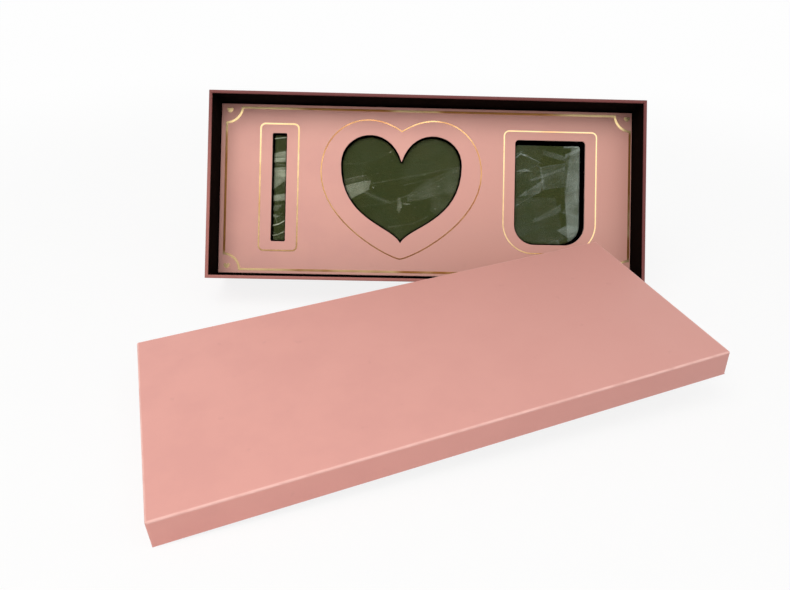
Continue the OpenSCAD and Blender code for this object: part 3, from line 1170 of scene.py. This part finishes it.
@dataclass
class FoamBrick:
    """One brick of flower foam in its window, with the film that wraps it."""

    window: Window
    film: FilmFinish
    sizes: BoxSizes
    place: Matrix
    foam_voxel: float = 1.3 * MM
    film_voxel: float = 1.2 * MM
    film_thickness: float = 0.08 * MM
    skin_gap: float = 0.15 * MM
    floor_gap: float = 0.6 * MM
    pit_depth: float = 0.12 * MM
    gather: float = 0.3 * MM

    def build(self, foam: Material) -> None:
        """Builds the brick and its film.

        Args:
            foam: The foam's material.
        """
        name, soft = self.window.value, math.radians(180)
        body = Body(f"{name}_brick")
        brick = Piece(f"{name}_foam_brick", body, Slot.FLOWER_FOAM, foam, f"{name}_foam", soft)
        brick.add(self.crumbled(), self.place)
        film = self.film.make(self.place)
        wrap = Piece(f"{name}_crinkled_film", body, Slot.CLEAR_FILM, film, f"{name}_film", soft)
        wrap.add(self.crinkled(), self.place, self.film_thickness)

    def remeshed(self, voxel: float, inset: float) -> BMesh:
        """An even mesh of the brick in tray coordinates.

        Args:
            voxel: Size of the mesh's faces.
            inset: How far the mesh lies inside the brick.

        Returns:
            The mesh.
        """
        draft = place_object("brick_draft", merged_copy(f"{self.window.value}_foam", self.place))
        remesh = draft.modifiers.new("even", "REMESH")
        remesh.mode, remesh.voxel_size = "VOXEL", voxel
        apply_modifiers(draft)
        even = bmesh.new()
        even.from_mesh(draft.data)
        bpy.data.objects.remove(draft)
        even.normal_update()
        for vert in even.verts:
            vert.co -= vert.normal * inset
        return even

    def crumbled(self) -> BMesh:
        """The brick with a crumbly surface.

        Returns:
            The mesh.
        """
        form = self.remeshed(self.foam_voxel, self.skin_gap)
        for vert in form.verts:
            pit = noise.noise(vert.co / (3 * MM)) + 0.6 * noise.noise(vert.co / (1.4 * MM))
            vert.co += vert.normal * (self.pit_depth * pit)
        return form

    def crinkled(self) -> BMesh:
        """The film over the brick's top and sides, as a skin.

        Returns:
            The skin.
        """
        form = self.remeshed(self.film_voxel, -self.skin_gap)
        floor = self.sizes.base_wall + self.floor_gap
        under = [face for face in form.faces if face.calc_center_median().z < floor]
        bmesh.ops.delete(form, geom=under, context="FACES")
        top = self.sizes.foam_top - 2 * MM
        for vert in form.verts:
            up = max(0.0, vert.normal.z)
            pleat = noise.noise(Vector((vert.co.x, vert.co.y, 0.0)) / (4 * MM))
            vert.co.z += up * self.film.crinkle.rise(vert.co) if vert.co.z > top else 0.0
            outward = Vector((vert.normal.x, vert.normal.y, 0.0))
            vert.co += outward * (self.gather * (0.5 + 0.5 * pleat))
        return form


@dataclass
class FlowerFoam:
    """The three wrapped bricks."""

    sizes: BoxSizes
    place: Matrix
    foam: FoamFinish = FoamFinish(
        # The pore colour is painted shade in the pores.
        "flower_foam_green", damp=(0.038, 0.053, 0.016), dry=(0.049, 0.059, 0.018), pore_shade=(0.021, 0.029, 0.009)
    )
    # Each film's pale facets, folds, crease lines and glints are painted reflection and highlights.
    films: tuple[tuple[Window, FilmFinish], ...] = (
        (Window.SLOT, FilmFinish(
            "slot_clear_film", (0.55, 0.62, 0.45), folded=SLOT_FOLDS,
            crinkle=Crinkle(math.radians(10), 26 * MM, 7 * MM, 0.9 * MM, 0.35 * MM),
            painted_reflection=0.01, pale=0.0, crease=0.15, warp=4 * MM, squeeze=0.35, facets_per_metre=165.0,
        )),
        (Window.HEART, FilmFinish(
            "heart_clear_film", (0.55, 0.62, 0.45), folded=HEART_FOLDS,
            crinkle=Crinkle(math.radians(17), 90 * MM, 17 * MM, 1.0 * MM, 0.25 * MM),
            painted_reflection=0.006, pale=0.015, crease=0.05, warp=6 * MM, pale_from=0.9,
        )),
        (Window.POCKET, FilmFinish(
            "pocket_clear_film", (0.48, 0.58, 0.51), folded=POCKET_FOLDS,
            crinkle=Crinkle(math.radians(24), 60 * MM, 14 * MM, 1.1 * MM, 0.35 * MM),
            painted_reflection=0.015, pale=0.02, crease=0.1, warp=6 * MM, squeeze=0.4, facets_per_metre=46.0,
            shift=(0.02, 0.05),
        )),
    )

    def build(self) -> None:
        """Builds the three bricks and their films."""
        foam = self.foam.make(self.place)
        for window, film in self.films:
            FoamBrick(window, film, self.sizes, self.place).build(foam)


@dataclass(frozen=True)
class SoftLamp:
    """A square studio lamp that looks at a point."""

    name: str
    at: Triple
    size: float
    power: float
    colour: Colour = (1.0, 0.96, 0.93)
    target: Triple = (0.0, -0.12, 0.06)
    gloss_only: bool = False

    def build(self) -> None:
        """Hangs the lamp. Its light either falls on surfaces or is mirrored by them."""
        data = bpy.data.lights.new(self.name, "AREA")
        data.shape, data.size, data.energy, data.color = "SQUARE", self.size, self.power, self.colour
        lamp = bpy.data.objects.new(self.name, data)
        lamp.location = self.at
        lamp.rotation_euler = (Vector(self.target) - Vector(self.at)).to_track_quat("-Z", "Y").to_euler()
        lamp.visible_glossy, lamp.visible_diffuse = self.gloss_only, not self.gloss_only
        bpy.context.scene.collection.objects.link(lamp)


@dataclass
class Studio:
    """Pale floor, white surroundings, soft lamps and the photo's camera."""

    focal_px: float = 694.3
    centre_px: Pair = (418.2, 258.6)
    camera_at_mm: Triple = (-24.10, -697.71, 367.65)
    camera_axes: tuple[Triple, Triple, Triple] = (
        (0.99957, -0.01116, 0.02699), (-0.01938, 0.43797, 0.89878), (-0.02185, -0.89892, 0.43757)
    )
    sensor: float = 36.0
    ambient: float = 0.42
    floor_size: float = 4.0
    floor_grain: Grain = Grain(40.0)
    floor_tints: tuple[Colour, Colour] = ((0.86, 0.86, 0.86), (0.90, 0.90, 0.90))
    floor_reach: Pair = (0.35, 1.3)
    floor_glow: Pair = (0.85, 0.98)
    card_radius: float = 1.9
    card_low: float = 0.1
    card_height: float = 2.2
    card_half_turn: float = math.radians(62)
    card_fade: Pair = (1.08, 1.9)
    card_sides: Pair = (0.7, 0.25)
    card_tints: tuple[Colour, Colour] = ((0.22, 0.10, 0.055), (1.5, 1.4, 1.2))
    lamps: tuple[SoftLamp, ...] = (
        SoftLamp("key_lamp", (-0.52, -0.96, 1.70), 1.3, 22.3),
        SoftLamp("fill_lamp", (1.0, -0.9, 1.4), 1.2, 4.0, (0.90, 1.0, 1.0)),
        SoftLamp("gloss_lamp", (-0.07, -1.22, 1.60), 0.45, 2.5, target=(0.0, 0.0, 0.15), gloss_only=True),
    )

    def build(self) -> None:
        """Builds floor, grey card, surroundings, lamps and camera."""
        self.add_floor()
        self.add_card()
        self.add_world()
        for lamp in self.lamps:
            lamp.build()
        self.add_camera()

    def add_floor(self) -> None:
        """Lays the floor, which glows where it is seen and takes shadows near the object."""
        form = bmesh.new()
        bmesh.ops.create_grid(form, x_segments=2, y_segments=2, size=self.floor_size)
        sheet = NodeSheet(bpy.data.materials.new("studio_floor_white"), Matrix())
        sheet.surface(Base_Color=sheet.blend(sheet.noise(self.floor_grain), *self.floor_tints), Roughness=0.9)
        away = sheet.vector("LENGTH", sheet.point, output="Value")
        glowing = sheet.span(away, *self.floor_reach, *self.floor_glow)
        seen = sheet.math("MULTIPLY", sheet.seen_directly(), glowing)
        white = sheet.add("Emission", {"Color": (1.0, 1.0, 1.0, 1.0)}).outputs[0]
        sheet.show(sheet.add("MixShader", {0: seen, 1: sheet.shader.outputs[0], 2: white}))
        place_object("studio_floor", form, sheet.owner)

    def add_card(self) -> None:
        """Stands a curved grey card behind the camera, which only glossy pieces mirror."""
        form, axis, turn = bmesh.new(), (0, 0, 1), self.card_half_turn
        start = form.verts.new((0.0, -self.card_radius, self.card_low))
        made = bmesh.ops.extrude_vert_indiv(form, verts=[start])
        bmesh.ops.translate(form, vec=(0.0, 0.0, self.card_height), verts=made["verts"])
        side = [*form.verts, *form.edges]
        bmesh.ops.rotate(form, cent=(0, 0, 0), matrix=Matrix.Rotation(-turn, 3, "Z"), verts=form.verts)
        bmesh.ops.spin(form, geom=side, cent=(0, 0, 0), axis=axis, angle=2 * turn, steps=24)
        sheet = NodeSheet(bpy.data.materials.new("studio_card_grey"), Matrix())
        x, _, z = sheet.axes(sheet.point)
        aside, rightward = self.card_sides
        reach = sheet.sum((z, 1.0), (sheet.math("ABSOLUTE", x), aside), (x, rightward))
        low, high = self.card_fade
        share = sheet.add("MapRange", {"Value": reach, "From Min": low, "From Max": high}).outputs[0]
        sheet.show(sheet.add("Emission", {"Color": sheet.blend(share, *self.card_tints)}))
        card = place_object("studio_card", form, sheet.owner)
        card.visible_camera = card.visible_diffuse = card.visible_shadow = card.visible_transmission = False

    def add_world(self) -> None:
        """Sets the surroundings: white where they are seen, dimmer where they light."""
        world = bpy.data.worlds.new("studio_surroundings")
        sheet = NodeSheet(world, Matrix())
        level = sheet.add("MapRange", {"Value": sheet.seen_directly(), "To Min": self.ambient, "To Max": 1.0})
        sheet.surface(Color=(1.0, 1.0, 1.0, 1.0), Strength=level.outputs["Result"])
        bpy.context.scene.world = world
        bpy.context.scene.view_settings.view_transform = "Standard"

    def add_camera(self) -> None:
        """Sets the camera where the photo was taken from."""
        data = bpy.data.cameras.new("photo_camera")
        wide, high = PHOTO_SIZE
        data.sensor_width, data.sensor_fit = self.sensor, "HORIZONTAL"
        data.lens = self.focal_px / wide * self.sensor
        data.shift_x = (wide / 2 - self.centre_px[0]) / wide
        data.shift_y = (self.centre_px[1] - high / 2) / wide
        data.clip_start, data.clip_end = 0.01, 50.0
        camera = bpy.data.objects.new("photo_camera", data)
        axes = Matrix(self.camera_axes).transposed().to_4x4()
        camera.matrix_world = Matrix.Translation(Vector(self.camera_at_mm) * MM) @ axes
        bpy.context.scene.collection.objects.link(camera)
        bpy.context.scene.camera = camera


def main() -> None:
    """Builds the object's pieces in order, then the studio."""
    logging.basicConfig(level=logging.INFO, format="%(name)s: %(message)s")
    sizes = BoxSizes()
    stand = SetDown(sizes)
    base_place, lid_place = stand.base_place(), stand.lid_place()
    for part in (BaseBox, Platform, FlowerFoam):
        part(sizes, base_place).build()
    Lid(sizes, lid_place).build()
    Studio().build()


if __name__ == "__main__":
    main()
